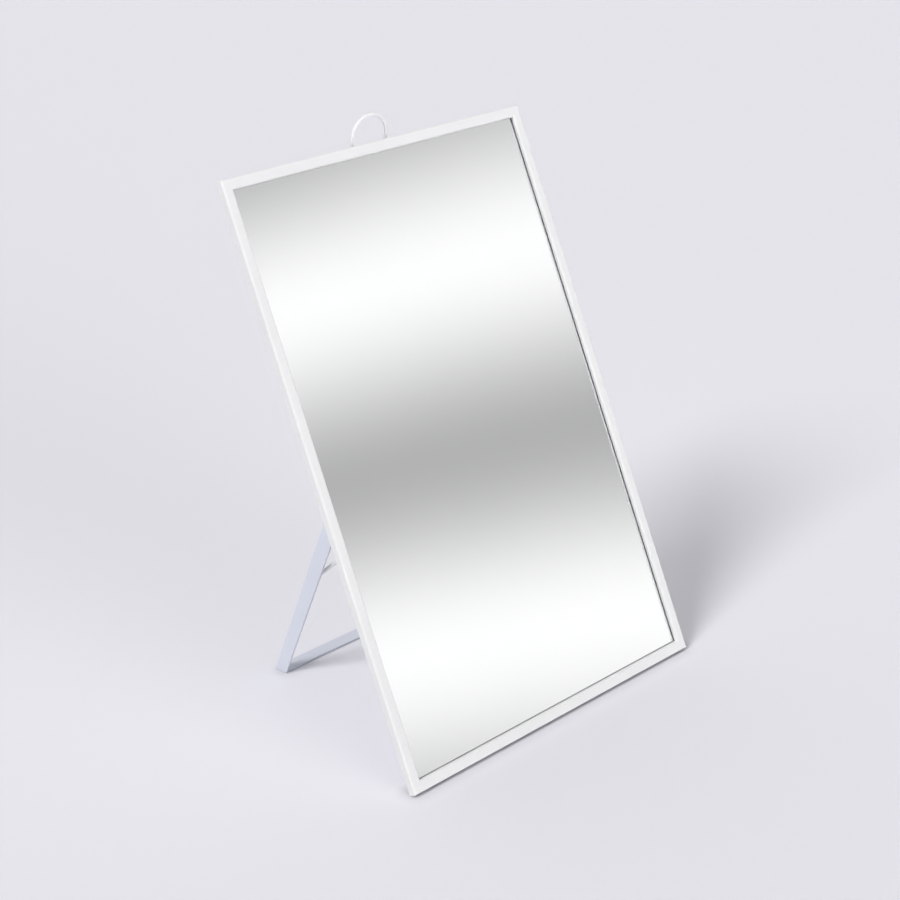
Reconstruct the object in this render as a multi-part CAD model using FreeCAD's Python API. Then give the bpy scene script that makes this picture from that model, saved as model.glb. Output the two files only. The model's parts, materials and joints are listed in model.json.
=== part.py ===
import FreeCAD, Part
import math
import os

os.makedirs("parts", exist_ok=True)

# Tabletop mirror: a sheet-metal frame with a recessed mirror, leaning back on a fold-out easel leg.
# Millimetres and degrees. X runs along the mirror's width, -Y is the front, +Z is up.
# The origin is on the table, in the middle of the object's footprint.

# Frame: four mitred rails folded from thin sheet
frame_width = 200.0
frame_height = 300.0
rail_face = 5.7
rail_sheet = 0.6
sight_return = 1.8
rear_lip = 4.6
sight_fold_radius = 1.2
front_edge_radius = 0.8
rear_edge_radius = 1.0
lean_angle = 24.7

# Sheets clamped between the rails' returns and rear lips, from front to back
glass_thickness = 0.8
silver_thickness = 0.1
card_thickness = 1.2
panel_thickness = 0.4

# Corner keys in the rails, round the corners of the sheets
key_length = 16.0
key_width = 1.8
key_clearance = 0.2

# Easel leg: two struts and a foot bar of flat strip
leg_width = 129.4
leg_opening_angle = 48.0
strut_top_width = 9.6
foot_depth = 7.9
strip_thickness = 1.2
strip_edge_radius = 0.3
hinge_height = 158.0
hinge_standoff = 6.4

# Hinges: angle brackets, pins and washers
bracket_sheet = 1.0
bracket_height = 16.0
bracket_reach = 14.0
bracket_ear_radius = 4.0
bracket_rivet_spacing = 8.0
hinge_pin_radius = 1.5
hinge_head_radius = 2.8
hinge_head_height = 1.0
washer_radius = 3.2
washer_thickness = 0.5
running_fit = 0.05
press_fit = 0.01
end_play = 0.1

# Stay: a wire bail between the back panel and the struts
stay_wire_radius = 1.0
stay_drop = 36.0
stay_standoff = 3.6
stay_grip_distance = 84.0
stay_side_gap = 2.6
stay_bend_radius = 1.6
stay_clearance = 0.4
keeper_reach = 1.6
keeper_width = 4.6
keeper_thickness = 1.2

# Hanging loop: a round wire ring with a straight bar
loop_wire_radius = 0.9
loop_radius = 11.6
loop_rise = 7.1
loop_bend_radius = 1.8
loop_drop = 3.0
loop_standoff = 4.8
loop_forward_angle = 4.0
loop_strap_width = 11.0

# Clips rolled round the wires, and the rivets that hold them
clip_sheet = 0.7
clip_neck = 5.0
clip_step = 2.4
clip_foot = 12.0
stay_clip_width = 8.0
stay_clip_spacing = 80.0
clip_rivet_spacing = 5.5
rivet_radius = 1.2
rivet_head_radius = 2.1
rivet_head_height = 0.7

# Overrun of every cut past the faces that it opens
overrun = 1.0

# How nearly two directions or places agree when they count as the same
match_share = 1e-6

# Derived places
glass_rear = sight_return + glass_thickness
silver_rear = glass_rear + silver_thickness
card_rear = silver_rear + card_thickness
panel_rear = card_rear + panel_thickness
frame_depth = panel_rear + rail_sheet
sheet_inset = rail_sheet + key_width + key_clearance
match_distance = match_share * frame_height
leg_tilt = leg_opening_angle - lean_angle
half_strut_top = strut_top_width / 2
strut_outer = leg_width / 2
strut_inner = strut_outer - strip_thickness
ear_outer = strut_inner - washer_thickness - 2 * end_play
ear_inner = ear_outer - bracket_sheet
hinge_depth = frame_depth + hinge_standoff
stay_height = hinge_height - stay_drop
stay_depth = frame_depth + stay_standoff
loop_height = frame_height - loop_drop
loop_depth = frame_depth + loop_standoff

ORIGIN = FreeCAD.Vector(0, 0, 0)
X_AXIS = FreeCAD.Vector(1, 0, 0)
Y_AXIS = FreeCAD.Vector(0, 1, 0)
Z_AXIS = FreeCAD.Vector(0, 0, 1)


def turned(point, angle):
    """A point turned about the X axis."""
    return FreeCAD.Rotation(X_AXIS, angle).multVec(point)


def find_seat():
    """Shift that sets the leaning frame's rear edge on the table and centres the footprint."""
    rear_round = turned(FreeCAD.Vector(0, frame_depth - rear_edge_radius, rear_edge_radius), -lean_angle)
    front_round = turned(FreeCAD.Vector(0, front_edge_radius, front_edge_radius), -lean_angle)
    lift = rear_edge_radius - rear_round.z
    front = front_round.y - front_edge_radius
    hinge = turned(FreeCAD.Vector(0, hinge_depth, hinge_height), -lean_angle)
    foot_middle = hinge.y + (hinge.z + lift) * math.tan(math.radians(leg_tilt))
    rear = foot_middle + foot_depth / 2
    return FreeCAD.Vector(0, -(front + rear) / 2, lift)


seat = find_seat()


def frame_point(depth, height, across=0):
    """Place in the finished object of a point on the upright frame."""
    return turned(FreeCAD.Vector(across, depth, height), -lean_angle) + seat


hinge_axis = frame_point(hinge_depth, hinge_height)
stay_axis = frame_point(stay_depth, stay_height)
loop_axis = frame_point(loop_depth, loop_height)


def leg_point(offset, height):
    """Place of a point on the opened leg: behind the strut's middle line, and up from the hinge."""
    return turned(FreeCAD.Vector(0, offset, height), leg_tilt) + hinge_axis


foot_middle = hinge_axis.y + hinge_axis.z * math.tan(math.radians(leg_tilt))
foot_front = FreeCAD.Vector(0, foot_middle - foot_depth / 2, 0)
foot_rear = FreeCAD.Vector(0, foot_middle + foot_depth / 2, 0)


def on_frame(shape):
    """A shape drawn on the upright frame, leaned back with it."""
    placed = shape.copy()
    placed.rotate(ORIGIN, X_AXIS, -lean_angle)
    placed.translate(seat)
    return placed


def on_loop(shape):
    """A shape drawn on an upright loop that stands on the origin, tipped forward with it."""
    placed = shape.copy()
    placed.rotate(ORIGIN, X_AXIS, loop_forward_angle)
    placed.translate(loop_axis)
    return placed


def mirrored(shape):
    """The same piece on the other side of the middle plane."""
    return shape.mirror(ORIGIN, X_AXIS)


def slab(inset, front, rear):
    """A plate of the frame's outline, set in on all four sides, between two depths."""
    corner = FreeCAD.Vector(inset - frame_width / 2, front, inset)
    return Part.makeBox(frame_width - 2 * inset, rear - front, frame_height - 2 * inset, corner)


def edges_along(shape, axis):
    """The straight edges that run along an axis."""
    found = []
    for edge in shape.Edges:
        direction = edge.tangentAt(edge.FirstParameter)
        if abs(abs(direction.dot(axis)) - 1) < match_share:
            found.append(edge)
    return found


def polygon_face(points):
    """A flat face with straight sides."""
    return Part.Face(Part.makePolygon(points + points[:1]))


def rail_section():
    """Section of the folded sheet: return at the sight edge, front face, outer wall and rear lip."""
    sheet = rail_sheet
    outline = [
        (rail_face, sight_return, 0),
        (rail_face, 0, sight_fold_radius),
        (0, 0, front_edge_radius),
        (0, frame_depth, rear_edge_radius),
        (rear_lip, frame_depth, 0),
        (rear_lip, panel_rear, 0),
        (sheet, panel_rear, rear_edge_radius - sheet),
        (sheet, sheet, front_edge_radius - sheet),
        (rail_face - sheet, sheet, sight_fold_radius - sheet),
        (rail_face - sheet, sight_return, 0),
    ]
    start = FreeCAD.Vector(0, sight_return, rail_face - sheet / 2)
    corners = [FreeCAD.Vector(0, depth, inset) for inset, depth, radius in outline]
    radii = [radius for inset, depth, radius in outline]
    return Part.Face(bent_path([start] + corners + [start], radii))


def mitre_block(corners):
    """A block that reaches through the frame and ends in two 45 degree mitres."""
    points = [FreeCAD.Vector(x, -overrun, z) for x, z in corners]
    return polygon_face(points).extrude(Y_AXIS * (frame_depth + 2 * overrun))


def rail(length):
    """A rail along X from the origin, with its outer wall below and mitred ends."""
    reach = rail_face + rear_lip
    ends = [(0, 0), (length, 0), (length - reach, reach), (reach, reach)]
    return rail_section().extrude(X_AXIS * length).common(mitre_block(ends))


def rails():
    """The four rails, each turned to its own side of the frame."""
    half = frame_width / 2
    sides = {
        "bottom_rail": (frame_width, 0, -half, 0),
        "right_rail": (frame_height, -90, half, 0),
        "top_rail": (frame_width, 180, half, frame_height),
        "left_rail": (frame_height, 90, -half, frame_height),
    }
    made = {}
    for name, (length, turn, x, z) in sides.items():
        piece = rail(length)
        piece.rotate(ORIGIN, Y_AXIS, turn)
        piece.translate(FreeCAD.Vector(x, 0, z))
        made[name] = on_frame(piece)
    return made


def corner_keys():
    """Four angle pieces that join the rails inside their channel, round the corners of the sheets."""
    near = rail_sheet
    far = near + key_width
    end = near + key_length
    outline = [(near, near), (end, near), (end, far), (far, far), (far, end), (near, end)]
    depth = frame_depth - rear_edge_radius - sight_return
    keys = []
    for side in (-1, 1):
        for level in (0, 1):
            points = []
            for x, z in outline:
                height = frame_height - z if level else z
                points.append(FreeCAD.Vector(side * (frame_width / 2 - x), sight_return, height))
            keys.append(on_frame(polygon_face(points).extrude(Y_AXIS * depth)))
    return Part.makeCompound(keys)


def rivet(grip):
    """A domed rivet on the origin: its head stands behind (+Y), its shank reaches forward."""
    ball = (rivet_head_radius ** 2 + rivet_head_height ** 2) / (2 * rivet_head_height)
    rim_angle = math.degrees(math.asin((ball - rivet_head_height) / ball))
    centre = Y_AXIS * (rivet_head_height - ball)
    head = Part.makeSphere(ball, centre, Y_AXIS, rim_angle, 90)
    shank = Part.makeCylinder(rivet_radius - press_fit, grip, ORIGIN, Y_AXIS * -1)
    return head.fuse(shank).removeSplitter()


def rivet_row(places, sheet):
    """Rivets that hold a sheet on the back panel, at (across, height) places of the upright frame."""
    row = []
    for x, z in places:
        piece = rivet(sheet + panel_thickness)
        piece.translate(FreeCAD.Vector(x, panel_rear + sheet, z))
        row.append(on_frame(piece))
    return Part.makeCompound(row)


def bracket_rivet_places():
    """Two rivets in the foot of each hinge bracket, one above the other."""
    x = ear_inner - bracket_reach / 2
    half = bracket_rivet_spacing / 2
    return [(side * x, hinge_height + step * half) for side in (-1, 1) for step in (-1, 1)]


def clip_rivet_places(across, height):
    """Two rivets in a clip's foot, below its barrel."""
    middle = height - clip_neck - clip_step - clip_foot / 2
    half = clip_rivet_spacing / 2
    return [(across, middle - half), (across, middle + half)]


def stay_rivet_places():
    """The rivets of both stay clips."""
    half = stay_clip_spacing / 2
    return clip_rivet_places(-half, stay_height) + clip_rivet_places(half, stay_height)


def drill(shape, places, radius):
    """Holes along the upright frame's depth."""
    for x, z in places:
        start = FreeCAD.Vector(x, -overrun, z)
        shape = shape.cut(Part.makeCylinder(radius, hinge_depth + overrun, start, Y_AXIS))
    return shape


def held_sheet(front, thickness):
    """A sheet in the frame's channel, with room round it for the corner keys."""
    return slab(sheet_inset, front, front + thickness)


def back_panel():
    """Steel back of the mirror, which carries the hinges, the clips and the strap."""
    panel = held_sheet(card_rear, panel_thickness)
    places = bracket_rivet_places() + stay_rivet_places() + clip_rivet_places(0, loop_height)
    return on_frame(drill(panel, places, rivet_radius))


def hinge_bracket():
    """Right-hand angle bracket: a foot on the back panel and an ear with a round end at the pin."""
    low = hinge_height - bracket_height / 2
    foot_corner = FreeCAD.Vector(ear_inner - bracket_reach, panel_rear, low)
    foot = Part.makeBox(bracket_reach + bracket_sheet, bracket_sheet, bracket_height, foot_corner)
    outline = [
        (panel_rear, low),
        (panel_rear + bracket_sheet, low),
        (hinge_depth, hinge_height - bracket_ear_radius),
        (hinge_depth, hinge_height + bracket_ear_radius),
        (panel_rear + bracket_sheet, low + bracket_height),
        (panel_rear, low + bracket_height),
    ]
    points = [FreeCAD.Vector(ear_inner, y, z) for y, z in outline]
    ear = polygon_face(points).extrude(X_AXIS * bracket_sheet)
    axis_start = FreeCAD.Vector(ear_inner, hinge_depth, hinge_height)
    tip = Part.makeCylinder(bracket_ear_radius, bracket_sheet, axis_start, X_AXIS)
    hole_start = axis_start - X_AXIS * overrun
    hole = Part.makeCylinder(hinge_pin_radius, bracket_sheet + 2 * overrun, hole_start, X_AXIS)
    bracket = foot.fuse(ear).fuse(tip).removeSplitter()
    bend = [edge for edge in edges_along(bracket, Z_AXIS) if is_outer_bend(edge)]
    bracket = bracket.makeFillet(bracket_sheet, bend)
    return on_frame(drill(bracket.cut(hole), bracket_rivet_places(), rivet_radius))


def is_outer_bend(edge):
    """Whether an upright edge is the outside of the bracket's bend, against the back panel."""
    point = edge.CenterOfMass
    return max(abs(point.x - ear_outer), abs(point.y - panel_rear)) < match_distance


def dome(radius, height):
    """A spherical cap that stands on the origin along +X."""
    ball = (radius ** 2 + height ** 2) / (2 * height)
    rim_angle = math.degrees(math.asin((ball - height) / ball))
    return Part.makeSphere(ball, X_AXIS * (height - ball), X_AXIS, rim_angle, 90)


def hinge_pin():
    """Right-hand hinge pin: domed outside the strut, riveted over inside the bracket's ear."""
    outer_seat = strut_outer + end_play
    start = X_AXIS * ear_inner
    shank = Part.makeCylinder(hinge_pin_radius - press_fit, outer_seat - ear_inner, start, X_AXIS)
    outer_head = dome(hinge_head_radius, hinge_head_height)
    outer_head.translate(X_AXIS * outer_seat)
    inner_head = dome(hinge_head_radius, hinge_head_height)
    inner_head.rotate(ORIGIN, Z_AXIS, 180)
    inner_head.translate(start)
    pin = shank.fuse(outer_head).fuse(inner_head).removeSplitter()
    pin.translate(hinge_axis)
    return pin


def hinge_washers():
    """A flat washer between each bracket's ear and its strut."""
    start = X_AXIS * (ear_outer + end_play)
    disc = Part.makeCylinder(washer_radius, washer_thickness, start, X_AXIS)
    hole_start = start - X_AXIS * overrun
    hole_radius = hinge_pin_radius + running_fit
    hole = Part.makeCylinder(hole_radius, washer_thickness + 2 * overrun, hole_start, X_AXIS)
    washer = disc.cut(hole)
    washer.translate(hinge_axis)
    return Part.makeCompound([washer, mirrored(washer)])


def leg_strut():
    """Right-hand strut: round at the hinge, tapered to a level foot."""
    front_top = leg_point(-half_strut_top, 0)
    rear_top = leg_point(half_strut_top, 0)
    corners = [rear_top, foot_rear, foot_front, front_top]
    round_end = Part.Arc(front_top, leg_point(0, half_strut_top), rear_top).toShape()
    sides = [Part.makeLine(start, end) for start, end in zip(corners, corners[1:])]
    strip = Part.Face(Part.Wire([round_end] + sides)).extrude(X_AXIS * strip_thickness)
    across = edges_along(strip, X_AXIS)
    outline = [edge for edge in strip.Edges if not any(edge.isSame(other) for other in across)]
    strip = strip.makeFillet(strip_edge_radius, outline)
    hole_start = hinge_axis - X_AXIS * overrun
    hole_radius = hinge_pin_radius + running_fit
    hole = Part.makeCylinder(hole_radius, strip_thickness + 2 * overrun, hole_start, X_AXIS)
    strut = strip.cut(hole)
    strut.translate(X_AXIS * strut_inner)
    return strut


def foot_bar():
    """Flat strip on the table between the struts, as deep as their level ends."""
    bar = Part.makeBox(2 * strut_inner, foot_depth, strip_thickness, foot_front - X_AXIS * strut_inner)
    return bar.makeFillet(strip_edge_radius, edges_along(bar, X_AXIS))


def bent_path(points, radii):
    """Straight runs through the points, joined by tangent arcs, each of its own radius or none."""
    edges = []
    start = points[0]
    for before, corner, after, radius in zip(points, points[1:], points[2:], radii):
        back = (before - corner).normalize()
        ahead = (after - corner).normalize()
        half_turn = (math.pi - back.getAngle(ahead)) / 2
        trim = radius * math.tan(half_turn)
        inward = (back + ahead).normalize()
        bulge = radius / math.cos(half_turn) - radius
        enter = corner + back * trim
        leave = corner + ahead * trim
        edges.append(Part.makeLine(start, enter))
        if radius > 0:
            edges.append(Part.Arc(enter, corner + inward * bulge, leave).toShape())
        start = leave
    edges.append(Part.makeLine(start, points[-1]))
    return Part.Wire(edges)


def swept_wire(path, radius):
    """Round wire along a path of lines and arcs."""
    first = path.OrderedEdges[0]
    start = first.valueAt(first.FirstParameter)
    direction = first.tangentAt(first.FirstParameter)
    section = Part.Wire([Part.makeCircle(radius, start, direction)])
    return path.makePipeShell([section], True, True)


def toe_place():
    """Where the stay's toes lie: beside the struts' middle lines, down from the hinge."""
    return leg_point(0, -stay_grip_distance)


def stay_keeper():
    """Right-hand keeper: a block on the strut's inner face that the stay's toe pulls against."""
    toe = toe_place()
    pull = (stay_axis - toe).normalize()
    near = toe + pull * (stay_wire_radius + stay_clearance)
    far = near + pull * keeper_thickness
    half = turned(pull, 90) * (keeper_width / 2)
    keeper = polygon_face([near - half, near + half, far + half, far - half]).extrude(X_AXIS * keeper_reach)
    keeper.translate(X_AXIS * (strut_inner - keeper_reach))
    return keeper


def stay_wire():
    """Wire bail: a bar that turns in the clips, two arms, and toes that hook behind the keepers."""
    toe = toe_place()
    arm = X_AXIS * (strut_inner - stay_side_gap - stay_wire_radius)
    end = X_AXIS * (strut_inner - stay_clearance)
    points = [toe - end, toe - arm, stay_axis - arm, stay_axis + arm, toe + arm, toe + end]
    bends = [stay_bend_radius] * (len(points) - 2)
    return swept_wire(bent_path(points, bends), stay_wire_radius)


def folded_strip(points, thickness):
    """Outline of a thin strip folded along a line of (depth, height) points, with mitred folds."""
    near = []
    far = []
    for index, (y, z) in enumerate(points):
        normals = []
        for start, end in zip(points[max(index - 1, 0):], points[max(index - 1, 0) + 1:index + 2]):
            length = math.hypot(end[0] - start[0], end[1] - start[1])
            normals.append(((start[1] - end[1]) / length, (end[0] - start[0]) / length))
        across = [sum(values) for values in zip(*normals)]
        scale = thickness / 2 * len(normals) / sum(value ** 2 for value in across)
        near.append(FreeCAD.Vector(0, y - across[0] * scale, z - across[1] * scale))
        far.append(FreeCAD.Vector(0, y + across[0] * scale, z + across[1] * scale))
    return polygon_face(near + far[::-1])


def rolled_clip(width, wire_radius, standoff):
    """Sheet clip whose barrel turns on a wire at the origin, with a foot on the back panel below it."""
    bore = wire_radius + running_fit
    outer = bore + clip_sheet
    neck = clip_sheet / 2 - outer
    sole = clip_sheet / 2 - standoff - rail_sheet
    heel = -clip_neck - clip_step
    folds = [(neck, 0), (neck, -clip_neck), (sole, heel), (sole, heel - clip_foot)]
    strip = folded_strip(folds, clip_sheet).extrude(X_AXIS * width)
    barrel = Part.makeCylinder(outer, width, ORIGIN, X_AXIS)
    hole = Part.makeCylinder(bore, width + 2 * overrun, X_AXIS * -overrun, X_AXIS)
    clip = strip.fuse(barrel).cut(hole).removeSplitter()
    clip.translate(X_AXIS * (-width / 2))
    return clip


def stay_clip():
    """Right-hand stay clip."""
    across = stay_clip_spacing / 2
    clip = rolled_clip(stay_clip_width, stay_wire_radius, stay_standoff)
    clip.translate(FreeCAD.Vector(across, stay_depth, stay_height))
    return on_frame(drill(clip, clip_rivet_places(across, stay_height), rivet_radius))


def loop_strap():
    """Strap on the back panel that holds the hanging loop's bar."""
    strap = rolled_clip(loop_strap_width, loop_wire_radius, loop_standoff)
    strap.translate(FreeCAD.Vector(0, loop_depth, loop_height))
    return on_frame(drill(strap, clip_rivet_places(0, loop_height), rivet_radius))


def hanging_loop():
    """Wire ring with a straight bar: a wide arch, two small bends and the bar, closed on itself."""
    bend_middle = loop_radius - loop_bend_radius
    bend_rise = loop_rise - loop_bend_radius
    bend_across = math.sqrt(bend_middle ** 2 - bend_rise ** 2)
    centre = Z_AXIS * loop_rise
    bend_centre = FreeCAD.Vector(bend_across, 0, loop_bend_radius)
    outward = (bend_centre - centre).normalize()
    arch_end = centre + outward * loop_radius
    halfway = (outward - Z_AXIS).normalize()
    bend_point = bend_centre + halfway * loop_bend_radius
    bar_end = FreeCAD.Vector(bend_across, 0, 0)
    flip = FreeCAD.Matrix()
    flip.scale(-1, 1, 1)
    other_end = flip.multVec(arch_end)
    other_bend = flip.multVec(bend_point)
    other_bar = flip.multVec(bar_end)
    edges = [
        Part.makeLine(other_bar, bar_end),
        Part.Arc(bar_end, bend_point, arch_end).toShape(),
        Part.Arc(arch_end, centre + Z_AXIS * loop_radius, other_end).toShape(),
        Part.Arc(other_end, other_bend, other_bar).toShape(),
    ]
    return on_loop(swept_wire(Part.Wire(edges), loop_wire_radius))


def build():
    """Every piece of the mirror by its node's name."""
    pieces = rails()
    pieces["corner_keys"] = corner_keys()
    pieces["mirror_glass"] = on_frame(held_sheet(sight_return, glass_thickness))
    pieces["mirror_silvering"] = on_frame(held_sheet(glass_rear, silver_thickness))
    pieces["backing_card"] = on_frame(held_sheet(silver_rear, card_thickness))
    pieces["back_panel"] = back_panel()
    pieces["hinge_bracket_right"] = hinge_bracket()
    pieces["hinge_pin_right"] = hinge_pin()
    pieces["leg_strut_right"] = leg_strut()
    pieces["stay_clip_right"] = stay_clip()
    for name in ("hinge_bracket", "hinge_pin", "leg_strut", "stay_clip"):
        pieces[name + "_left"] = mirrored(pieces[name + "_right"])
    pieces["bracket_rivets"] = rivet_row(bracket_rivet_places(), bracket_sheet)
    pieces["hinge_washers"] = hinge_washers()
    pieces["foot_bar"] = foot_bar()
    pieces["stay_keepers"] = Part.makeCompound([stay_keeper(), mirrored(stay_keeper())])
    pieces["stay_wire"] = stay_wire()
    pieces["stay_clip_rivets"] = rivet_row(stay_rivet_places(), clip_sheet)
    pieces["hanging_loop"] = hanging_loop()
    pieces["loop_strap"] = loop_strap()
    pieces["loop_rivets"] = rivet_row(clip_rivet_places(0, loop_height), clip_sheet)
    return pieces


for node, shape in build().items():
    shape.exportStep("parts/" + node + ".step")
    print(node, "solids", len(shape.Solids), "valid", shape.isValid(), "volume", round(shape.Volume, 2))
for axis_name, axis in (("leg hinge", hinge_axis), ("stay pivot", stay_axis), ("loop pivot", loop_axis)):
    print(axis_name, "at", round(axis.y, 4), round(axis.z, 4))
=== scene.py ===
# %% [markdown]
# # A white table mirror on its easel leg
# The object is a small mirror in a folded sheet-metal frame. It leans back on a leg that folds out behind it.
# Its solids come from a finished CAD model, and this lesson gives them their looks.
# A mirror shows little of itself, so most of the work is paint, glass, and what the glass reflects.

# %% Load the finished model
import json
import math

import bmesh
import bpy
from mathutils import Matrix, Vector


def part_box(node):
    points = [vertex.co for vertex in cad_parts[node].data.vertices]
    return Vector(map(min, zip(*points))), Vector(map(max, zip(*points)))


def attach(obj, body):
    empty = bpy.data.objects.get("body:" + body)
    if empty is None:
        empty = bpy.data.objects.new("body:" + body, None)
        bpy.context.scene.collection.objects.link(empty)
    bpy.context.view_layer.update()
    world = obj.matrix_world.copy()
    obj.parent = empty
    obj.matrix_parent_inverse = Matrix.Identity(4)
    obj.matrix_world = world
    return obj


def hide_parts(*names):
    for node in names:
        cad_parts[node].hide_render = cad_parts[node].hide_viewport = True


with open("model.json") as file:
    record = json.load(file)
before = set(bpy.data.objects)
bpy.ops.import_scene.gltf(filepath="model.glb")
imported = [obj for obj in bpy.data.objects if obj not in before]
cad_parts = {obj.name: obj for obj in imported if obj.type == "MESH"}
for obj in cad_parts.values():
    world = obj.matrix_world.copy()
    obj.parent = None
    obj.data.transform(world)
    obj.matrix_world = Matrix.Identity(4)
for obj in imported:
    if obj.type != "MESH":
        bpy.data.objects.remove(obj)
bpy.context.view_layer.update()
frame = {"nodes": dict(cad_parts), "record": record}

# %% [markdown]
# ## Directions of the leaning frame
# The frame leans back, so its own width, depth and height aren't the scene's axes.
# One matrix turns a point of the scene into the frame's own directions, and its inverse turns it back.
# The lean is the only number that is needed: every place is then read from the CAD pieces themselves.

# %% Turn between the scene and the frame's own directions
MM = 0.001
LEAN = math.radians(24.7)
to_frame = Matrix.Rotation(LEAN, 4, "X")
from_frame = to_frame.inverted()


def frame_box(node):
    """Lowest and highest corner of a CAD piece in the frame's own directions: across, deep, high."""
    points = [to_frame @ vertex.co for vertex in frame["nodes"][node].data.vertices]
    low = Vector(min(point[axis] for point in points) for axis in range(3))
    high = Vector(max(point[axis] for point in points) for axis in range(3))
    return low, high


glass_low, glass_high = frame_box("mirror_glass")
print("glass, mm", [round(side / MM, 2) for side in glass_high - glass_low])

# %% [markdown]
# ## The camera
# A long lens from the front left, looking down a little, gives the steep edges of the product picture.
# The place and the lens were worked out from the edges of the frame and of the foot.
# The view has no roll, so aiming the camera at one point is enough. The picture is cropped from the lower part
# of a taller view, which keeps uprights steep, and a lens shift does the same.

# %% Place the camera
camera_place = Vector((-0.69386, -0.68972, 0.54702))
camera_target = Vector((-0.01888, -0.03116, 0.2143))
camera_data = bpy.data.cameras.new("product_camera")
camera_data.sensor_width = 36
camera_data.lens = 85.063
camera_data.shift_x = -0.02958
camera_data.shift_y = -0.162
camera = bpy.data.objects.new("product_camera", camera_data)
camera.location = camera_place
camera.rotation_mode = "QUATERNION"
camera.rotation_quaternion = (camera_target - camera_place).to_track_quat("-Z", "Y")
bpy.context.scene.collection.objects.link(camera)
bpy.context.scene.camera = camera
bpy.context.scene.view_settings.view_transform = "Standard"
print("camera distance, m", round((camera_target - camera_place).length, 3))

# %% [markdown]
# ## Node maths that reads as maths
# A finish is a small formula: more roughness here, a lighter tone there.
# Nodes can be linked by hand, but a formula of twenty nodes is then hard to read.
# So one small class wraps a socket. Operators on it add Math nodes, and one method adds any other node.
# Shader trees and geometry trees share these nodes, so both are written with it.

# %% Wrap a socket


def put(tree, socket, value):
    """Feeds a socket with a link or with a plain value."""
    if isinstance(value, Socket):
        tree.links.new(value.socket, socket)
    else:
        socket.default_value = value


def set_stops(ramp, stops):
    """Gives a colour ramp its stops, as (place, colour) pairs."""
    while len(ramp.elements) < len(stops):
        ramp.elements.new(1)
    for element, (place, colour) in zip(ramp.elements, stops):
        element.position = place
        element.color = colour


class Socket:
    """A socket of a node tree, which can be added, multiplied and fed to other nodes."""

    def __init__(self, tree, socket=None):
        self.tree = tree
        self.socket = socket

    def node(self, kind, settings=None, inputs=None, output=0):
        """Adds a node, with its settings first and then the values or links of its sockets."""
        made = self.tree.nodes.new(kind)
        for name, value in (settings or {}).items():
            if name == "stops":
                set_stops(made.color_ramp, value)
            else:
                setattr(made, name, value)
        for name, value in (inputs or {}).items():
            put(self.tree, made.inputs[name], value)
        return Socket(self.tree, made.outputs[output])

    def maths(self, operation, *values):
        """Adds one Math node."""
        return self.node("ShaderNodeMath", {"operation": operation}, dict(enumerate(values)))

    def __add__(self, other):
        return self.maths("ADD", self, other)

    def __radd__(self, other):
        return self.maths("ADD", other, self)

    def __sub__(self, other):
        return self.maths("SUBTRACT", self, other)

    def __rsub__(self, other):
        return self.maths("SUBTRACT", other, self)

    def __mul__(self, other):
        return self.maths("MULTIPLY", self, other)

    def __rmul__(self, other):
        return self.maths("MULTIPLY", other, self)

    def __truediv__(self, other):
        return self.maths("DIVIDE", self, other)

    def __rtruediv__(self, other):
        return self.maths("DIVIDE", other, self)


print("sockets wrapped by", Socket.__name__)

# %% Add helpers for finishes


def new_finish(name):
    """A new material, with its shader and the place of each point on the object."""
    material = bpy.data.materials.new(name)
    material.use_nodes = True
    shader = material.node_tree.nodes["Principled BSDF"]
    place = Socket(material.node_tree).node("ShaderNodeTexCoord", output="Object")
    return material, shader, place


def set_shader(shader, values):
    """Feeds the sockets of a shader by name."""
    for name, value in values.items():
        put(shader.id_data, shader.inputs[name], value)


def noise(place, scale, detail=2.0, stretch=None):
    """Soft noise with a scale in spots per metre, which can be stretched along an axis."""
    if stretch:
        place = place.node("ShaderNodeMapping", inputs={"Vector": place, "Scale": stretch})
    return place.node("ShaderNodeTexNoise", inputs={"Vector": place, "Scale": scale, "Detail": detail})


def mix_colours(share, first, second):
    """A colour between two others."""
    return share.node("ShaderNodeMix", {"data_type": "RGBA"}, {0: share, 6: first, 7: second}, output=2)


def bump(height, strength, distance):
    """Small relief for a shader's Normal."""
    values = {"Height": height, "Strength": strength, "Distance": distance}
    return height.node("ShaderNodeBump", inputs=values)


print("node helpers ready")

# %% [markdown]
# ## White powder coat
# The frame, the leg and the wires wear a baked powder coat: white, satin, and never quite level.
# Close up it has the fine dimples called orange peel, and its gloss drifts a little from place to place.
# A flat white would look like plastic foil, so two noises are used. The fine one dimples the surface.
# The broad one moves the tone and the gloss by a few hundredths. The back of the mirror has a duller coat
# and the leg a cooler white, as parts painted in another batch often do. The wires get a lighter copy
# of the frame's white: painted light, which makes the thin wires read brighter than the frame.

# %% Mix the powder coats
DRIFT_SCALE = 28
DIMPLE_SCALE = 620
SPECK_SCALE = 2600
SPECK_SHARE = 0.25
PEEL_DEPTH = 0.06 * MM
COAT_SHINE = 0.35


def powder_coat(name, light, dark, gloss, peel):
    """Baked paint between two near tones, with orange peel and a drifting gloss."""
    material, shader, place = new_finish(name)
    drift = noise(place, DRIFT_SCALE, detail=3.0)
    dimples = noise(place, DIMPLE_SCALE, detail=1.5)
    specks = noise(place, SPECK_SCALE, detail=0.0)
    grain = dimples + specks * SPECK_SHARE
    set_shader(shader, {
        "Base Color": mix_colours(drift, dark, light),
        "Roughness": gloss + 0.10 * drift + 0.06 * dimples,
        "Normal": bump(grain, peel, PEEL_DEPTH),
        "Specular IOR Level": COAT_SHINE,
    })
    return material


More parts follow.
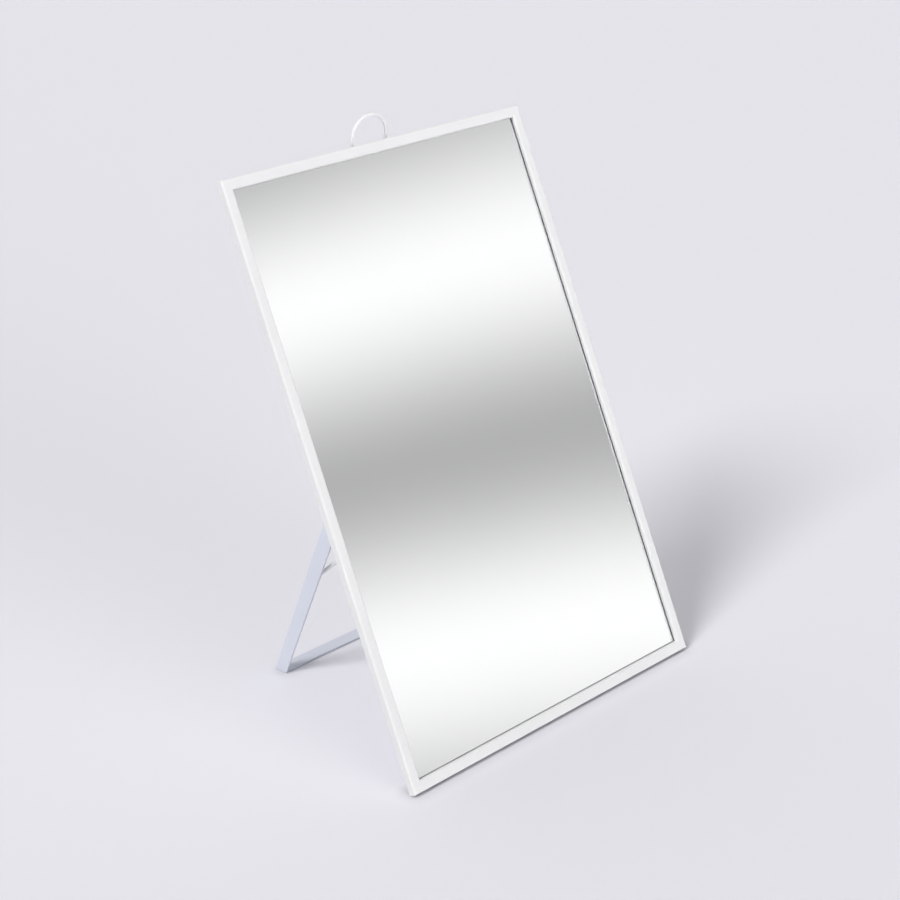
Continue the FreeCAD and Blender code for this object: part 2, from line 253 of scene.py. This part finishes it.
satin_white = powder_coat("satin_white", (0.875, 0.875, 0.875, 1), (0.835, 0.835, 0.84, 1), 0.44, 0.22)
matt_white = powder_coat("matt_white", (0.83, 0.83, 0.835, 1), (0.785, 0.785, 0.795, 1), 0.5, 0.4)
cool_white = powder_coat("cool_white", (0.75, 0.777, 0.865, 1), (0.717, 0.745, 0.838, 1), 0.46, 0.22)
# Painted light: the wires' coat is a lighter copy of the frame's white, so that they look brighter.
wire_white_painted_light = powder_coat("wire_white_painted_light", (0.885, 0.885, 0.89, 1), (0.855, 0.855, 0.865, 1), 0.44, 0.12)
print("coats", satin_white.name, matt_white.name, cool_white.name, wire_white_painted_light.name)

# %% [markdown]
# ## Zinc on the pins, washers and rivets
# Small steel hardware is zinc plated. The plating has cells of slightly different brightness and a grey sheen.
# Voronoi cells give each patch its own tone, and fine stretched noise gives the drawn grain of pin stock.

# %% Plate the hardware
CELL_SCALE = 900
DRAWN_SCALE = 900
DRAWN_STRETCH = (0.15, 1, 1)
DRAWN_DEPTH = 0.03 * MM


def zinc_plate(name):
    """Zinc plating with faint cells and a drawn grain."""
    material, shader, place = new_finish(name)
    cells = place.node("ShaderNodeTexVoronoi", inputs={"Vector": place, "Scale": CELL_SCALE}, output="Color")
    patch = place.node("ShaderNodeSeparateColor", inputs={"Color": cells})
    grain = noise(place, DRAWN_SCALE, detail=3.0, stretch=DRAWN_STRETCH)
    set_shader(shader, {
        "Base Color": mix_colours(patch, (0.56, 0.57, 0.60, 1), (0.70, 0.71, 0.73, 1)),
        "Metallic": 1.0,
        "Roughness": 0.28 + 0.14 * grain + 0.06 * patch,
        "Normal": bump(grain, 0.15, DRAWN_DEPTH),
    })
    return material


zinc = zinc_plate("zinc_plate")
print("plating", zinc.name)

# %% [markdown]
# ## Silver, glass, card and nylon
# The silver is a perfect mirror but for a slight cloud in the film, so it is a metal with hardly any roughness.
# The glass in front is real clear glass, because its thickness shows: along the frame the eye looks
# under the rail and meets a thin dark line. A mirror paint on a flat plate would lose that line.
# Faint wipe marks change only the glass's roughness. The card and the corner keys are hidden, but not bare.

# %% Make the silver and the glass
CLOUD_SCALE = 14
WIPE_SCALE = 60
WIPE_STRETCH = (0.12, 1, 1)
FLOAT_GLASS_IOR = 1.52


def silver_film(name):
    """Silvering seen through the glass."""
    material, shader, place = new_finish(name)
    cloud = noise(place, CLOUD_SCALE, detail=4.0)
    set_shader(shader, {
        "Base Color": mix_colours(cloud, (0.955, 0.955, 0.96, 1), (0.985, 0.985, 0.985, 1)),
        "Metallic": 1.0,
        "Roughness": 0.008 + 0.006 * cloud,
    })
    return material


def clear_glass(name):
    """Polished float glass with faint wipe marks."""
    material, shader, place = new_finish(name)
    wipes = noise(place, WIPE_SCALE, detail=3.0, stretch=WIPE_STRETCH)
    set_shader(shader, {
        "Base Color": (0.986, 0.991, 0.987, 1),
        "Roughness": 0.006 * wipes,
        "IOR": FLOAT_GLASS_IOR,
        "Transmission Weight": 1.0,
    })
    return material


silver = silver_film("silver_film")
glass = clear_glass("float_glass")
print("mirror finishes", silver.name, glass.name)

# %% Make the card and the nylon
FIBRE_SCALE = 700
FIBRE_STRETCH = (0.2, 1, 1)
FIBRE_DEPTH = 0.05 * MM
MOULD_SCALE = 1400
MOULD_DEPTH = 0.04 * MM


def grey_card(name):
    """Pressed grey card with fibres."""
    material, shader, place = new_finish(name)
    fibres = noise(place, FIBRE_SCALE, detail=4.0, stretch=FIBRE_STRETCH)
    set_shader(shader, {
        "Base Color": mix_colours(fibres, (0.36, 0.35, 0.32, 1), (0.52, 0.50, 0.47, 1)),
        "Roughness": 0.82 + 0.12 * fibres,
        "Normal": bump(fibres, 0.3, FIBRE_DEPTH),
    })
    return material


def moulded_nylon(name):
    """Dark nylon with the fine texture of its mould."""
    material, shader, place = new_finish(name)
    texture = noise(place, MOULD_SCALE, detail=2.0)
    set_shader(shader, {
        "Base Color": mix_colours(texture, (0.045, 0.045, 0.05, 1), (0.07, 0.07, 0.075, 1)),
        "Roughness": 0.5 + 0.15 * texture,
        "Normal": bump(texture, 0.25, MOULD_DEPTH),
    })
    return material


card = grey_card("pressed_card")
nylon = moulded_nylon("moulded_nylon")
print("hidden finishes", card.name, nylon.name)

# %% [markdown]
# ## Dress the CAD pieces
# The record names a material slot for every piece, so one table from slot to finish dresses nearly all.
# Only the two wires share the frame's slot, and get a lighter copy of its white as painted light. No CAD mesh
# is touched.

# %% Give every CAD piece its finish
finish_of_slot = {
    "white_paint": satin_white,
    "back_paint": matt_white,
    "leg_paint": cool_white,
    "zinc_steel": zinc,
    "clear_glass": glass,
    "silvering": silver,
    "grey_card": card,
    "key_plastic": nylon,
}
slot_of_node = {part["node"]: part["material_slot"] for part in frame["record"]["subparts"]}
finish_of_node = {node: finish_of_slot[slot] for node, slot in slot_of_node.items()}
# The wires' lighter white is painted light.
finish_of_node.update({"stay_wire": wire_white_painted_light, "hanging_loop": wire_white_painted_light})
for node, thing in frame["nodes"].items():
    if not thing.material_slots:
        thing.data.materials.append(None)
    for slot in thing.material_slots:
        slot.material = finish_of_node[node]
print("dressed", len(finish_of_node), "pieces")

# %% [markdown]
# ## The glass pane
# A cut pane has its sharp edges rubbed off, which is called an arris. The CAD pane is a plain box that touches
# the silver and the rail, and two surfaces in one place confuse a renderer that follows light through glass.
# So the pane is made again from the CAD pane's own size, with arrised edges: a hair clear of the rail in front,
# and sunk a hair into the silver behind, so that light meets the film while it is still in the glass.

# %% Cut the pane
RAIL_GAP = 0.02 * MM
FILM_SINK = 0.03 * MM
ARRIS = 0.2 * MM


def new_piece(name, mesh, finish):
    """A new object in the scene with one finish."""
    mesh.materials.clear()
    mesh.materials.append(finish)
    piece = bpy.data.objects.new(name, mesh)
    bpy.context.scene.collection.objects.link(piece)
    return piece


def pane_mesh(low, high):
    """A pane between two corners of the frame's own directions, with arrised edges."""
    shape = bmesh.new()
    bmesh.ops.create_cube(shape, size=1)
    bmesh.ops.scale(shape, vec=high - low, verts=shape.verts)
    bmesh.ops.translate(shape, vec=(low + high) / 2, verts=shape.verts)
    bmesh.ops.bevel(shape, geom=shape.edges[:], offset=ARRIS, segments=1, affect="EDGES")
    bmesh.ops.transform(shape, matrix=from_frame, verts=shape.verts)
    bmesh.ops.recalc_face_normals(shape, faces=shape.faces)
    mesh = bpy.data.meshes.new("mirror_pane")
    shape.to_mesh(mesh)
    shape.free()
    return mesh


pane_low = glass_low + Vector((0, RAIL_GAP, 0))
pane_high = glass_high + Vector((0, FILM_SINK, 0))
pane = new_piece("mirror_pane", pane_mesh(pane_low, pane_high), glass)
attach(pane, "frame")
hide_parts("mirror_glass")
print("pane faces", len(pane.data.polygons))

# %% [markdown]
# ## Blind rivets
# The brackets, clips and strap are held by blind rivets. Each has a low dome with a hole in the middle,
# where the pulled pin broke off. All ten are alike, so Geometry Nodes makes one and puts it on every seat.
# The rivet is a shape of revolution: a flat grid whose columns are wrapped round an axis,
# and whose rows take their radius and height from a table of the profile's corners.

# %% Find the rivets' seats
HEAD_RADIUS = 2.1 * MM
HEAD_HEIGHT = 0.7 * MM
RIVET_NODES = ("bracket_rivets", "stay_clip_rivets", "loop_rivets")


def rivet_seats(node):
    """The middle of each rivet's seat, from the box round a group that stands in rows and columns."""
    low, high = frame_box(node)
    columns = sorted({round(low.x + HEAD_RADIUS, 5), round(high.x - HEAD_RADIUS, 5)})
    rows = (low.z + HEAD_RADIUS, high.z - HEAD_RADIUS)
    depth = high.y - HEAD_HEIGHT
    return [from_frame @ Vector((x, depth, z)) for x in columns for z in rows]


seats = [seat for node in RIVET_NODES for seat in rivet_seats(node)]
print("rivet seats", len(seats))

# %% Start, end and feed a geometry tree


def new_tree(name, sizes):
    """A geometry tree with a Geometry input, named sizes and one output."""
    tree = bpy.data.node_groups.new(name, "GeometryNodeTree")
    tree.interface.new_socket("Geometry", in_out="INPUT", socket_type="NodeSocketGeometry")
    for size in sizes:
        tree.interface.new_socket(size, in_out="INPUT", socket_type="NodeSocketFloat")
    tree.interface.new_socket("Finish", in_out="INPUT", socket_type="NodeSocketMaterial")
    tree.interface.new_socket("Geometry", in_out="OUTPUT", socket_type="NodeSocketGeometry")
    entry = tree.nodes.new("NodeGroupInput")
    inputs = {socket.name: Socket(tree, socket) for socket in entry.outputs if socket.name}
    return tree, inputs


def end_tree(tree, geometry, finish):
    """Makes the result a plain mesh with its finish."""
    plain = geometry.node("GeometryNodeRealizeInstances", inputs={"Geometry": geometry})
    smooth = plain.node("GeometryNodeSetShadeSmooth", inputs={0: plain, "Shade Smooth": False})
    done = smooth.node("GeometryNodeSetMaterial", inputs={"Geometry": smooth, "Material": finish})
    leave = tree.nodes.new("NodeGroupOutput")
    put(tree, leave.inputs[0], done)


def table_row(row, values):
    """Picks one of several values by a row's number."""
    picker = row.tree.nodes.new("GeometryNodeIndexSwitch")
    picker.data_type = "FLOAT"
    while len(picker.index_switch_items) < len(values):
        picker.index_switch_items.new()
    put(row.tree, picker.inputs["Index"], row)
    for index, value in enumerate(values):
        put(row.tree, picker.inputs[str(index)], value)
    return Socket(row.tree, picker.outputs[0])


print("tree helpers ready")

# %% Build the rivet's node tree
RIVET_SIZES = {
    "Head Radius": HEAD_RADIUS,
    "Head Height": HEAD_HEIGHT,
    "Shank Radius": 1.15 * MM,
    "Shank Length": 1.1 * MM,
    "Hole Radius": 0.75 * MM,
    "Hole Depth": 0.4 * MM,
}
DOME_SHARES = ((1.0, 0.22), (0.95, 0.48), (0.82, 0.74), (0.62, 0.93))
RIM_RADIUS_SHARE = 1.15
RIM_HEIGHT_SHARE = 0.95
SIDES = 32
SEAM_REACH = 1e-6


def rivet_tree():
    """Rivets on every point of the input, turned to stand on the back of the frame."""
    tree, size = new_tree("Blind rivets", RIVET_SIZES)
    head, height = size["Head Radius"], size["Head Height"]
    hole, shank = size["Hole Radius"], size["Shank Radius"]
    hole_floor = height - size["Hole Depth"]
    tip = 0 - size["Shank Length"]
    radii = [0.0, shank, shank, head]
    heights = [tip, tip, 0.0, 0.0]
    for radius_share, height_share in DOME_SHARES:
        radii.append(head * radius_share)
        heights.append(height * height_share)
    radii += [hole * RIM_RADIUS_SHARE, hole, hole, 0.0]
    heights += [height, height * RIM_HEIGHT_SHARE, hole_floor, hole_floor]
    counts = {"Vertices X": SIDES + 1, "Vertices Y": len(radii)}
    grid = head.node("GeometryNodeMeshGrid", inputs=counts)
    index = grid.node("GeometryNodeInputIndex")
    column = index.maths("FLOOR", index / len(radii))
    row = index - column * len(radii)
    angle = column * (2 * math.pi / SIDES)
    radius = table_row(row, radii)
    turn = {"X": radius * angle.maths("COSINE", angle), "Y": radius * angle.maths("SINE", angle)}
    place = row.node("ShaderNodeCombineXYZ", inputs={**turn, "Z": table_row(row, heights)})
    lathed = grid.node("GeometryNodeSetPosition", inputs={"Geometry": grid, "Position": place})
    closed = lathed.node("GeometryNodeMergeByDistance", inputs={"Geometry": lathed, "Distance": SEAM_REACH})
    stand = (-math.pi / 2 - LEAN, 0, 0)
    values = {"Points": size["Geometry"], "Instance": closed, "Rotation": stand}
    end_tree(tree, closed.node("GeometryNodeInstanceOnPoints", inputs=values), size["Finish"])
    return tree


print("corners of the rivet's dome", len(DOME_SHARES), "sides", SIDES)

# %% Set the rivets


def run_tree(name, mesh, tree, sizes, finish):
    """Runs a geometry tree on a mesh and returns the result as a plain piece."""
    source = bpy.data.objects.new(name + "_source", mesh)
    bpy.context.scene.collection.objects.link(source)
    modifier = source.modifiers.new(name, "NODES")
    modifier.node_group = tree
    values = {**sizes, "Finish": finish}
    for item in tree.interface.items_tree:
        if item.in_out == "INPUT" and item.name in values:
            modifier[item.identifier] = values[item.name]
    shown = source.evaluated_get(bpy.context.evaluated_depsgraph_get())
    made = bpy.data.meshes.new_from_object(shown)
    bpy.data.objects.remove(source)
    shape = bmesh.new()
    shape.from_mesh(made)
    bmesh.ops.recalc_face_normals(shape, faces=shape.faces)
    shape.to_mesh(made)
    shape.free()
    return new_piece(name, made, finish)


seat_mesh = bpy.data.meshes.new("rivet_seats")
seat_mesh.from_pydata(seats, [], [])
rivets = run_tree("blind_rivets", seat_mesh, rivet_tree(), RIVET_SIZES, zinc)
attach(rivets, "frame")
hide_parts(*RIVET_NODES)
print("rivet faces", len(rivets.data.polygons))

# %% [markdown]
# ## Weld beads at the foot
# The foot bar is welded between the struts, and a small rippled bead fills each inner corner.
# A bead follows a path, so Geometry Nodes sweeps a round section along a line
# and lets its radius swell and shrink with the length, as a weld pool leaves it.

# %% Build the bead's node tree
BEAD_SIZES = {"Bead Radius": 0.75 * MM, "Ripple Share": 0.12, "Ripple Length": 0.8 * MM}
BEAD_INSET = 0.9 * MM
BEAD_STEPS = 64
BEAD_SIDES = 16


def bead_tree():
    """A rippled bead along every edge of the input."""
    tree, size = new_tree("Weld beads", BEAD_SIZES)
    line = size["Geometry"].node("GeometryNodeMeshToCurve", inputs={"Mesh": size["Geometry"]})
    fine = line.node("GeometryNodeResampleCurve", inputs={"Curve": line, "Count": BEAD_STEPS})
    run = fine.node("GeometryNodeSplineParameter", output="Length")
    wave = run.maths("SINE", run / size["Ripple Length"] * (2 * math.pi))
    radius = size["Bead Radius"] * (1 + size["Ripple Share"] * wave)
    shaped = fine.node("GeometryNodeSetCurveRadius", inputs={"Curve": fine, "Radius": radius})
    ring = line.node("GeometryNodeCurvePrimitiveCircle", inputs={"Resolution": BEAD_SIDES, "Radius": 1.0})
    scale = shaped.node("GeometryNodeInputRadius")
    sweep = {"Curve": shaped, "Profile Curve": ring, "Scale": scale, "Fill Caps": True}
    end_tree(tree, shaped.node("GeometryNodeCurveToMesh", inputs=sweep), size["Finish"])
    return tree


print("bead in", BEAD_STEPS, "steps of", BEAD_SIDES, "sides")

# %% Lay the beads
bar_low, bar_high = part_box("foot_bar")
bead_ends = []
for x in (bar_low.x, bar_high.x):
    bead_ends.append(Vector((x, bar_low.y + BEAD_INSET, bar_high.z)))
    bead_ends.append(Vector((x, bar_high.y - BEAD_INSET, bar_high.z)))
bead_mesh = bpy.data.meshes.new("bead_lines")
bead_mesh.from_pydata(bead_ends, [(0, 1), (2, 3)], [])
beads = run_tree("weld_beads", bead_mesh, bead_tree(), BEAD_SIZES, cool_white)
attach(beads, "leg")
print("bead faces", len(beads.data.polygons))

# %% [markdown]
# ## The floor
# The floor is one pale sheet with a hint of lilac, and it fills the whole view, so no horizon shows.
# A real white sweep is lit from below or behind, so that it stays pale behind the object. Here the floor glows
# a little for the camera alone, and for metal and glass, and the rest of its tone comes from the lamps,
# so the object still throws its shadow. Light that the floor scatters never sees the glow, or the mirror
# would turn it into a lamp. Soft lamps wash out the dark line where a thing stands, so an Ambient Occlusion
# node that reaches a few millimetres paints contact shade there: it darkens the floor's colour and dims its
# glow.

# %% Lay the floor
PALE = (0.775, 0.767, 0.815)
FLOOR_PAINT = 1.2
FLOOR_GLOW = 0.035
FLOOR_HALF = 8
# Reach, tone and samples of the painted contact shade on the floor.
CONTACT_SHADE_REACH = 8 * MM
CONTACT_SHADE_TONE = 0.48
CONTACT_SHADE_SAMPLES = 16


def plane_mesh(name, half_width, half_height):
    """A flat sheet round its own middle."""
    corners = [(-half_width, -half_height, 0), (half_width, -half_height, 0)]
    corners += [(half_width, half_height, 0), (-half_width, half_height, 0)]
    mesh = bpy.data.meshes.new(name)
    mesh.from_pydata(corners, [], [(0, 1, 2, 3)])
    return mesh


def tinted(share):
    """The pale tone of the background, times a share."""
    return (*(share * tone for tone in PALE), 1)


def seen_ray(tree):
    """One for rays of the camera, of metal and of glass, and zero for rays that carry light."""
    seen = Socket(tree).node("ShaderNodeLightPath", output="Is Camera Ray")
    for kind in ("Is Glossy Ray", "Is Transmission Ray"):
        seen = seen.maths("MAXIMUM", seen, Socket(tree).node("ShaderNodeLightPath", output=kind))
    scattered = Socket(tree).node("ShaderNodeLightPath", output="Diffuse Depth")
    return seen * scattered.maths("LESS_THAN", scattered, 1.0)


floor_finish, floor_shader, floor_place = new_finish("pale_floor")
nearness = {"Distance": CONTACT_SHADE_REACH}
# Painted shade: close to the object the AO factor darkens the floor's colour and its glow, a painted contact
# shadow.
contact_shade_openness = floor_place.node("ShaderNodeAmbientOcclusion", {"samples": CONTACT_SHADE_SAMPLES}, nearness, "AO")
floor_paint_with_contact_shade = mix_colours(contact_shade_openness, tinted(CONTACT_SHADE_TONE * FLOOR_PAINT), tinted(FLOOR_PAINT))
floor_glow_with_contact_shade = mix_colours(seen_ray(floor_finish.node_tree) * contact_shade_openness, tinted(0), tinted(FLOOR_GLOW))
set_shader(floor_shader, {"Base Color": floor_paint_with_contact_shade, "Roughness": 1.0, "Specular IOR Level": 0.0})
set_shader(floor_shader, {"Emission Color": floor_glow_with_contact_shade, "Emission Strength": 1.0})
floor = new_piece("floor", plane_mesh("floor", FLOOR_HALF, FLOOR_HALF), floor_finish)
print("floor, m", [round(side, 1) for side in floor.dimensions])

# %% [markdown]
# ## The sky
# Most of the soft light comes from a low window-like glow in front, which lights the frame's face
# and hardly touches the floor. A broader one overhead lights the floor, the foot and the inner edges
# of the rails, and a weak one behind lights the mirror's back. Lamps could do this, but a sky has no edges
# and no distance. Each glow is a formula of the direction: its share to the front, up or to the back,
# and a power on that share makes a glow narrow. The camera, metal and glass see the pale tone instead.

# %% Hang the sky
FRONT_LIGHT = 9.2
FRONT_FOCUS = 16.0
BACK_LIGHT = 0.5
TOP_LIGHT = 0.7
TOP_FOCUS = 4.0

sky = bpy.data.worlds.new("white_room")
sky.use_nodes = True
bpy.context.scene.world = sky
sky_tree = sky.node_tree
facing = Socket(sky_tree).node("ShaderNodeTexCoord", output="Generated")
away = facing.node("ShaderNodeSeparateXYZ", inputs={"Vector": facing}, output="Y")
from_back = away.maths("MAXIMUM", away, 0.0)
from_front = away.maths("POWER", away.maths("MAXIMUM", 0 - away, 0.0), FRONT_FOCUS)
up = facing.node("ShaderNodeSeparateXYZ", inputs={"Vector": facing}, output="Z")
from_above = up.maths("POWER", up.maths("MAXIMUM", up, 0.0), TOP_FOCUS)
level = FRONT_LIGHT * from_front + BACK_LIGHT * from_back + TOP_LIGHT * from_above
light = level.node("ShaderNodeCombineColor", inputs={"Red": level, "Green": level, "Blue": level})
background = sky_tree.nodes["Background"]
put(sky_tree, background.inputs["Color"], mix_colours(seen_ray(sky_tree), light, tinted(1)))
print("sky", sky.name, "front", FRONT_LIGHT, "back", BACK_LIGHT, "above", TOP_LIGHT)

# %% [markdown]
# ## The key light
# One broad lamp stands on the left and lays a soft shadow to the right of the mirror.
# A sun lamp with a wide angle lights the floor evenly, which a near lamp would not.
# It is kept out of reflections, where it would be a hard spot on every rounded edge
# and the mirror would throw a second patch of light on the floor.

# %% Hang the key light
KEY_LEVEL = 1.7
KEY_SPREAD = math.radians(20)
key_data = bpy.data.lights.new("key_light", "SUN")
key_data.energy = KEY_LEVEL
key_data.angle = KEY_SPREAD
key = bpy.data.objects.new("key_light", key_data)
key_travel = Vector((0.731, 0, -0.682))
key.rotation_mode = "QUATERNION"
key.rotation_quaternion = key_travel.to_track_quat("-Z", "Y")
key.visible_glossy = False
key.visible_transmission = False
bpy.context.scene.collection.objects.link(key)
print("key light from", [round(-share, 2) for share in key_travel])

# %% [markdown]
# ## What the mirror sees
# From this camera the mirror looks past the lens, to the front right and a little up.
# A studio hangs a large card there, lit in soft bands, so that the glass isn't an even grey.
# The card is a real sheet in the scene. Only mirror and glass rays see it, and it lights nothing else.
# Its bands fan out slightly, and an easing colour ramp swells from dark to bright and back along them.

# %% Hang the banded card
card_middle = Vector((0.96911, -1.08728, 0.47943))
card_across = Vector((0.74101, 0.67149, 0))
card_up = Vector((-0.15465, 0.17066, 0.97312))
CARD_HALF = (0.9, 0.75)
CARD_LEVEL = 1.05
BAND_TILT = 0.367
BAND_FAN = 0.27
BANDS = ((-0.56, 0.39), (-0.25, 0.99), (-0.005, 0.445), (0.225, 0.985), (0.46, 0.44))
band_finish, band_shader, band_place = new_finish("banded_card")
along = band_place.node("ShaderNodeSeparateXYZ", inputs={"Vector": band_place}, output="X")
rise = band_place.node("ShaderNodeSeparateXYZ", inputs={"Vector": band_place}, output="Y")
band = rise + along * (BAND_TILT - BAND_FAN * rise)
first, last = BANDS[0][0], BANDS[-1][0]
share = (band - first) / (last - first)
stops = [((place - first) / (last - first), (tone, tone, tone, 1)) for place, tone in BANDS]
glow = share.node("ShaderNodeValToRGB", {"stops": stops}, {"Fac": share})
glow.socket.node.color_ramp.interpolation = "EASE"
set_shader(band_shader, {"Base Color": (0, 0, 0, 1), "Specular IOR Level": 0.0})
band_glow = mix_colours(seen_ray(band_finish.node_tree), tinted(0), glow)
set_shader(band_shader, {"Emission Color": band_glow, "Emission Strength": CARD_LEVEL})
band_card = new_piece("banded_card", plane_mesh("banded_card", *CARD_HALF), band_finish)
turn = Matrix((card_across, card_up, card_across.cross(card_up))).transposed()
band_card.matrix_world = Matrix.Translation(card_middle) @ turn.to_4x4()
band_card.visible_camera = False
band_card.visible_diffuse = False
band_card.visible_shadow = False
print("bands on the card", len(BANDS))
